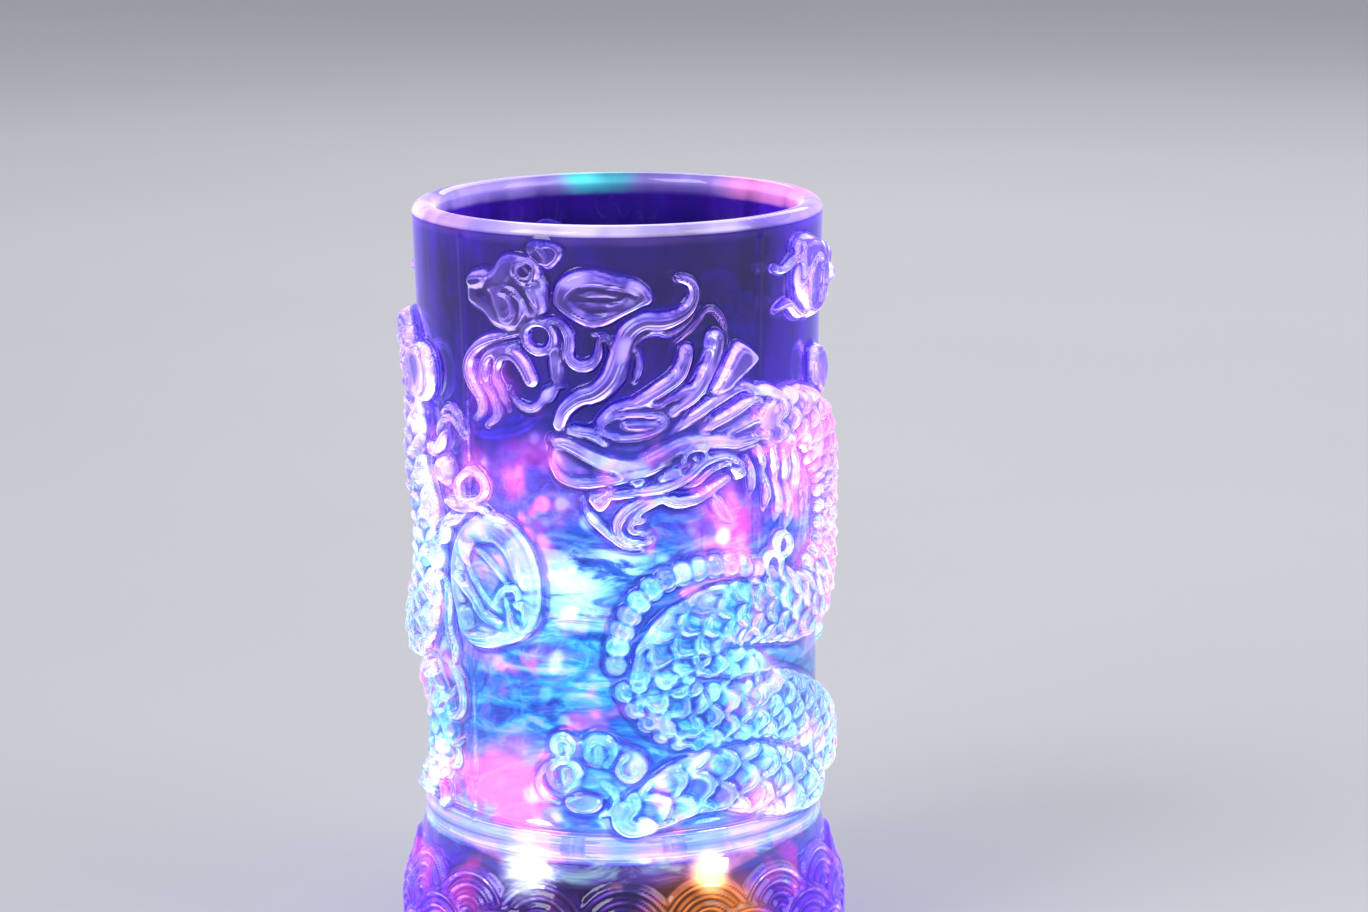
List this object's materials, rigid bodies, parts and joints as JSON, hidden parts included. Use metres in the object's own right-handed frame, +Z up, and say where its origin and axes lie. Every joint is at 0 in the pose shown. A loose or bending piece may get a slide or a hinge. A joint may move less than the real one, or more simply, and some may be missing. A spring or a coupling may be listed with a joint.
{
  "type": "light-up tumbler",
  "caption": "Clear moulded tumbler with a serpent relief and a flared base that holds a liquid-sensing lamp unit with a push button and battery door.",
  "frame": {"origin": "centre of the foot ring on the surface the tumbler stands on", "axes": "+Z up the cup's axis, the serpent's head on the -Y side, +X to the right when the head is faced"},
  "size_m": [0.0838, 0.0838, 0.144],
  "materials": {
    "clear_cup": "clear injection-moulded polystyrene, lit from below",
    "black_plastic": "fine-textured black ABS",
    "housing_plastic": "semi-gloss black ABS",
    "door_plastic": "fine-textured black ABS",
    "button_plastic": "grey ABS push button",
    "plunger_plastic": "nylon plunger",
    "silicone": "translucent white silicone",
    "foot_rubber": "matte dark rubber",
    "screw_steel": "zinc-plated steel",
    "sensor_steel": "polished stainless steel",
    "tinned_wire": "tinned wire",
    "lead_insulation": "insulated lead",
    "board_green": "solder-masked circuit board",
    "chip_black": "moulded black epoxy",
    "capacitor_sleeve": "blue sleeve",
    "led_white": "clear epoxy lamp, lit cyan white",
    "led_amber": "clear epoxy lamp, lit amber",
    "led_pink": "clear epoxy lamp, lit pink",
    "led_blue": "clear epoxy lamp, lit blue violet",
    "cell_steel": "nickel-plated can",
    "contact_nickel": "nickel-plated spring steel",
    "insert_brass": "plain brass"
  },
  "bodies": {
    "tumbler": {"cup_body": "clear_cup", "base_plate": "black_plastic", "base_gasket": "silicone", "foot_ring": "foot_rubber", "base_screws": "screw_steel", "lamp_housing": "housing_plastic", "circuit_board": "board_green", "board_screws": "screw_steel", "led_front_left": "led_white", "led_front_right": "led_amber", "led_rear_left": "led_pink", "led_rear_right": "led_blue", "led_leads": "tinned_wire", "resistors": "chip_black", "controller_chip": "chip_black", "transistor": "chip_black", "capacitor": "capacitor_sleeve", "sensor_pin_left": "sensor_steel", "sensor_pin_right": "sensor_steel", "sensor_seals": "silicone", "sensor_nuts": "sensor_steel", "sensor_leads": "lead_insulation", "tact_switch_body": "chip_black", "switch_terminals": "tinned_wire", "cell_1": "cell_steel", "cell_2": "cell_steel", "cell_3": "cell_steel", "battery_holder": "black_plastic", "positive_contact": "contact_nickel", "negative_spring": "contact_nickel", "door_insert": "insert_brass"},
    "mode_button": {"mode_button": "button_plastic", "switch_plunger": "plunger_plastic"},
    "battery_door": {"battery_door": "door_plastic", "door_gasket": "silicone"},
    "door_screw": {"door_screw": "screw_steel"}
  },
  "joints": [
    {"name": "button_press", "type": "slide", "parent": "tumbler", "child": "mode_button", "axis": [0, 0, 1], "range_m": [0, 0.0006], "stiffness_N_per_m": 1200, "springref_m": -0.0002},
    {"name": "door_lift_off", "type": "slide", "parent": "tumbler", "child": "battery_door", "axis": [0, 0, -1], "range_m": [0, 0.02]},
    {"name": "door_screw_turn", "type": "hinge", "parent": "battery_door", "child": "door_screw", "pos_m": [0.0185, 0.01, 0.004], "axis": [0, 0, 1], "continuous": true}
  ]
}
